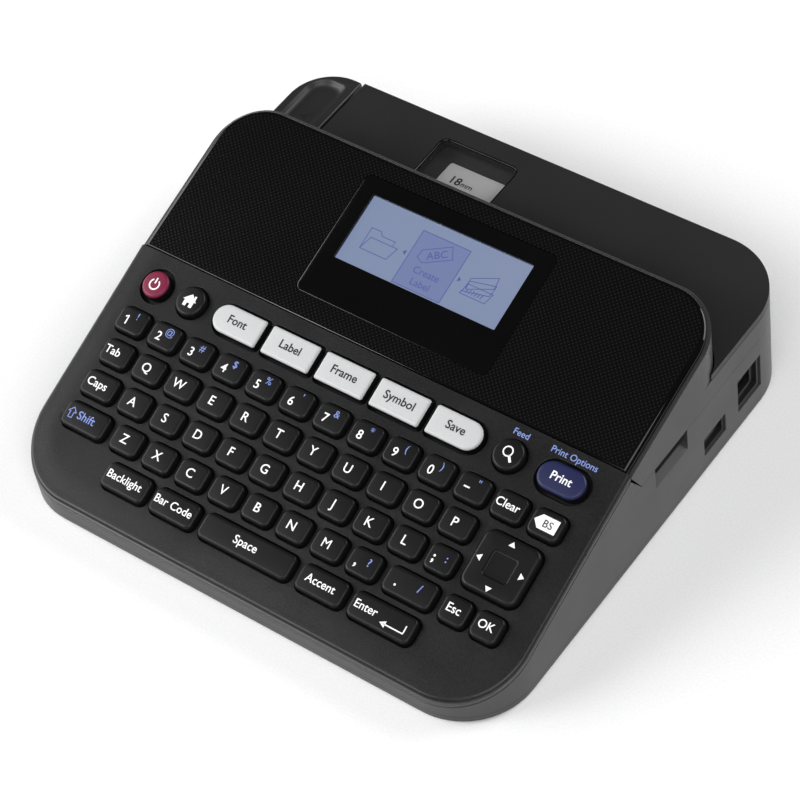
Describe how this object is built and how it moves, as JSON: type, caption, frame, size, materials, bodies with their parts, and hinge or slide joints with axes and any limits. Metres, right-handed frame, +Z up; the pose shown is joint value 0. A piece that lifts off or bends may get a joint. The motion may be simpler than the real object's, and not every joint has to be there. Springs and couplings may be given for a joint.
{
  "type": "label maker",
  "caption": "Desktop label maker with a sloped keyboard deck, a raised display hood, a rear tape cover and a cutter lever.",
  "frame": {"origin": "middle of the footprint, on the surface the feet stand on", "axes": "+X to the user's right along the width, +Y to the back, +Z up"},
  "size_m": [0.19, 0.178, 0.0602],
  "materials": {
    "case_grey": "satin moulded grain",
    "deck_black": "fine speckled grain",
    "panel_gloss": "gloss with a fine dot pattern",
    "lens_black": "polished",
    "lcd_glass": "backlit display",
    "cover_black": "smooth matte",
    "clear_window": "clear tinted",
    "steel": "bright",
    "cassette_grey": "matte",
    "tape_white": "laminated tape",
    "gear_white": "natural acetal",
    "aluminium": "as extruded",
    "roller_rubber": "ground",
    "brass": "machined",
    "board_green": "solder mask",
    "socket_black": "moulded",
    "cell_jacket": "printed jacket",
    "contact_plate": "nickel plated",
    "foot_rubber": "matte",
    "screw_steel": "zinc plated",
    "key_rubber": "satin",
    "key_white": "satin",
    "key_red": "satin",
    "key_blue": "satin"
  },
  "bodies": {
    "case": {"lower_housing": "case_grey", "upper_housing": "case_grey", "keyboard_cover": "deck_black", "display_cover": "panel_gloss", "display_window": "lens_black", "lcd_module": "lcd_glass", "hinge_pins": "steel", "lever_pin": "steel", "lever_spring": "steel", "fixed_blade": "steel", "cassette_shell": "cassette_grey", "print_head": "aluminium", "motor": "steel", "chassis_plate": "steel", "main_board": "board_green", "keypad_board": "board_green", "dc_jack": "socket_black", "usb_socket": "steel", "batteries": "cell_jacket", "battery_contacts": "contact_plate", "rubber_feet": "foot_rubber", "housing_screws": "screw_steel"},
    "cover": {"tape_cover": "cover_black", "viewer_window": "clear_window"},
    "lever": {"cutter_lever": "cover_black"},
    "blade": {"cutter_blade": "steel"},
    "takeup": {"takeup_gear": "gear_white", "takeup_spool": "cassette_grey"},
    "platen": {"platen_roller": "roller_rubber", "platen_gear": "gear_white"},
    "idler": {"idler_gear": "gear_white"},
    "pinion": {"motor_pinion": "brass"},
    "tape_supply": {"tape_roll": "tape_white"},
    "battery_door": {"battery_cover": "case_grey"},
    "power_key": {"power_key": "key_red"},
    "home_key": {"home_key": "key_rubber"},
    "font_key": {"font_key": "key_white"},
    "label_key": {"label_key": "key_white"},
    "frame_key": {"frame_key": "key_white"},
    "symbol_key": {"symbol_key": "key_white"},
    "save_key": {"save_key": "key_white"},
    "preview_key": {"preview_key": "key_rubber"},
    "print_key": {"print_key": "key_blue"},
    "clear_key": {"clear_key": "key_rubber"},
    "backspace_key": {"backspace_key": "key_rubber"},
    "esc_key": {"esc_key": "key_rubber"},
    "ok_key": {"ok_key": "key_rubber"},
    "space_key": {"space_key": "key_rubber"},
    "enter_key": {"enter_key": "key_rubber"},
    "shift_key": {"shift_key": "key_rubber"},
    "caps_key": {"caps_key": "key_rubber"},
    "tab_key": {"tab_key": "key_rubber"},
    "accent_key": {"accent_key": "key_rubber"},
    "backlight_key": {"backlight_key": "key_rubber"},
    "barcode_key": {"barcode_key": "key_rubber"},
    "arrow_pad": {"arrow_pad": "key_rubber"},
    "number_row_keys": {"number_row_keys": "key_rubber"},
    "top_row_keys": {"top_row_keys": "key_rubber"},
    "home_row_keys": {"home_row_keys": "key_rubber"},
    "bottom_row_keys": {"bottom_row_keys": "key_rubber"}
  },
  "joints": [
    {"name": "cover_hinge", "type": "hinge", "parent": "case", "child": "cover", "pos_m": [0, 0.0865, 0.0342], "axis": [1, 0, 0], "range_deg": [-80, 0]},
    {"name": "lever_press", "type": "hinge", "parent": "case", "child": "lever", "pos_m": [-0.0852, 0.057, 0.035], "axis": [-1, 0, 0], "range_deg": [0, 8], "stiffness_Nm_per_rad": 0.2},
    {"name": "blade_swing", "type": "hinge", "parent": "case", "child": "blade", "pos_m": [-0.0844, 0.074, 0.0122], "axis": [1, 0, 0], "range_deg": [0, 16]},
    {"name": "platen_spin", "type": "hinge", "parent": "case", "child": "platen", "pos_m": [-0.07, 0.062, 0.012], "axis": [0, 0, 1], "continuous": true},
    {"name": "idler_spin", "type": "hinge", "parent": "case", "child": "idler", "pos_m": [-0.074, 0.04817, 0.012], "axis": [0, 0, 1], "continuous": true},
    {"name": "pinion_spin", "type": "hinge", "parent": "case", "child": "pinion", "pos_m": [-0.076, 0.03634, 0.012], "axis": [0, 0, 1], "continuous": true},
    {"name": "takeup_spin", "type": "hinge", "parent": "case", "child": "takeup", "pos_m": [-0.048, 0.0662, 0.012], "axis": [0, 0, 1], "continuous": true},
    {"name": "supply_spin", "type": "hinge", "parent": "case", "child": "tape_supply", "pos_m": [-0.018, 0.0682, 0.024], "axis": [0, 0, 1], "continuous": true},
    {"name": "battery_door_slide", "type": "slide", "parent": "case", "child": "battery_door", "axis": [0, 0, -1], "range_m": [0, 0.012]},
    {"name": "power_key_press", "type": "slide", "parent": "case", "child": "power_key", "axis": [0, 0.3577, -0.9338], "range_m": [0, 0.001], "stiffness_N_per_m": 300},
    {"name": "home_key_press", "type": "slide", "parent": "case", "child": "home_key", "axis": [0, 0.3577, -0.9338], "range_m": [0, 0.001], "stiffness_N_per_m": 300},
    {"name": "font_key_press", "type": "slide", "parent": "case", "child": "font_key", "axis": [0, 0.3577, -0.9338], "range_m": [0, 0.001], "stiffness_N_per_m": 300},
    {"name": "label_key_press", "type": "slide", "parent": "case", "child": "label_key", "axis": [0, 0.3577, -0.9338], "range_m": [0, 0.001], "stiffness_N_per_m": 300},
    {"name": "frame_key_press", "type": "slide", "parent": "case", "child": "frame_key", "axis": [0, 0.3577, -0.9338], "range_m": [0, 0.001], "stiffness_N_per_m": 300},
    {"name": "symbol_key_press", "type": "slide", "parent": "case", "child": "symbol_key", "axis": [0, 0.3577, -0.9338], "range_m": [0, 0.001], "stiffness_N_per_m": 300},
    {"name": "save_key_press", "type": "slide", "parent": "case", "child": "save_key", "axis": [0, 0.3577, -0.9338], "range_m": [0, 0.001], "stiffness_N_per_m": 300},
    {"name": "preview_key_press", "type": "slide", "parent": "case", "child": "preview_key", "axis": [0, 0.3577, -0.9338], "range_m": [0, 0.001], "stiffness_N_per_m": 300},
    {"name": "print_key_press", "type": "slide", "parent": "case", "child": "print_key", "axis": [0, 0.3577, -0.9338], "range_m": [0, 0.001], "stiffness_N_per_m": 300},
    {"name": "clear_key_press", "type": "slide", "parent": "case", "child": "clear_key", "axis": [0, 0.3577, -0.9338], "range_m": [0, 0.001], "stiffness_N_per_m": 300},
    {"name": "backspace_key_press", "type": "slide", "parent": "case", "child": "backspace_key", "axis": [0, 0.3577, -0.9338], "range_m": [0, 0.001], "stiffness_N_per_m": 300},
    {"name": "esc_key_press", "type": "slide", "parent": "case", "child": "esc_key", "axis": [0, 0.3577, -0.9338], "range_m": [0, 0.001], "stiffness_N_per_m": 300},
    {"name": "ok_key_press", "type": "slide", "parent": "case", "child": "ok_key", "axis": [0, 0.3577, -0.9338], "range_m": [0, 0.001], "stiffness_N_per_m": 300},
    {"name": "space_key_press", "type": "slide", "parent": "case", "child": "space_key", "axis": [0, 0.3577, -0.9338], "range_m": [0, 0.001], "stiffness_N_per_m": 300},
    {"name": "enter_key_press", "type": "slide", "parent": "case", "child": "enter_key", "axis": [0, 0.3577, -0.9338], "range_m": [0, 0.001], "stiffness_N_per_m": 300},
    {"name": "shift_key_press", "type": "slide", "parent": "case", "child": "shift_key", "axis": [0, 0.3577, -0.9338], "range_m": [0, 0.001], "stiffness_N_per_m": 300},
    {"name": "caps_key_press", "type": "slide", "parent": "case", "child": "caps_key", "axis": [0, 0.3577, -0.9338], "range_m": [0, 0.001], "stiffness_N_per_m": 300},
    {"name": "tab_key_press", "type": "slide", "parent": "case", "child": "tab_key", "axis": [0, 0.3577, -0.9338], "range_m": [0, 0.001], "stiffness_N_per_m": 300},
    {"name": "accent_key_press", "type": "slide", "parent": "case", "child": "accent_key", "axis": [0, 0.3577, -0.9338], "range_m": [0, 0.001], "stiffness_N_per_m": 300},
    {"name": "backlight_key_press", "type": "slide", "parent": "case", "child": "backlight_key", "axis": [0, 0.3577, -0.9338], "range_m": [0, 0.001], "stiffness_N_per_m": 300},
    {"name": "barcode_key_press", "type": "slide", "parent": "case", "child": "barcode_key", "axis": [0, 0.3577, -0.9338], "range_m": [0, 0.001], "stiffness_N_per_m": 300},
    {"name": "arrow_pad_press", "type": "slide", "parent": "case", "child": "arrow_pad", "axis": [0, 0.3577, -0.9338], "range_m": [0, 0.001], "stiffness_N_per_m": 300},
    {"name": "number_row_keys_press", "type": "slide", "parent": "case", "child": "number_row_keys", "axis": [0, 0.3577, -0.9338], "range_m": [0, 0.001], "stiffness_N_per_m": 300},
    {"name": "top_row_keys_press", "type": "slide", "parent": "case", "child": "top_row_keys", "axis": [0, 0.3577, -0.9338], "range_m": [0, 0.001], "stiffness_N_per_m": 300},
    {"name": "home_row_keys_press", "type": "slide", "parent": "case", "child": "home_row_keys", "axis": [0, 0.3577, -0.9338], "range_m": [0, 0.001], "stiffness_N_per_m": 300},
    {"name": "bottom_row_keys_press", "type": "slide", "parent": "case", "child": "bottom_row_keys", "axis": [0, 0.3577, -0.9338], "range_m": [0, 0.001], "stiffness_N_per_m": 300}
  ],
  "couplings": [
    {"joint": "blade_swing", "follows": "lever_press", "ratio": 1.5},
    {"joint": "idler_spin", "follows": "platen_spin", "ratio": -0.8},
    {"joint": "pinion_spin", "follows": "platen_spin", "ratio": 1.6},
    {"joint": "takeup_spin", "follows": "platen_spin", "ratio": -0.4},
    {"joint": "supply_spin", "follows": "platen_spin", "ratio": 0.331}
  ]
}
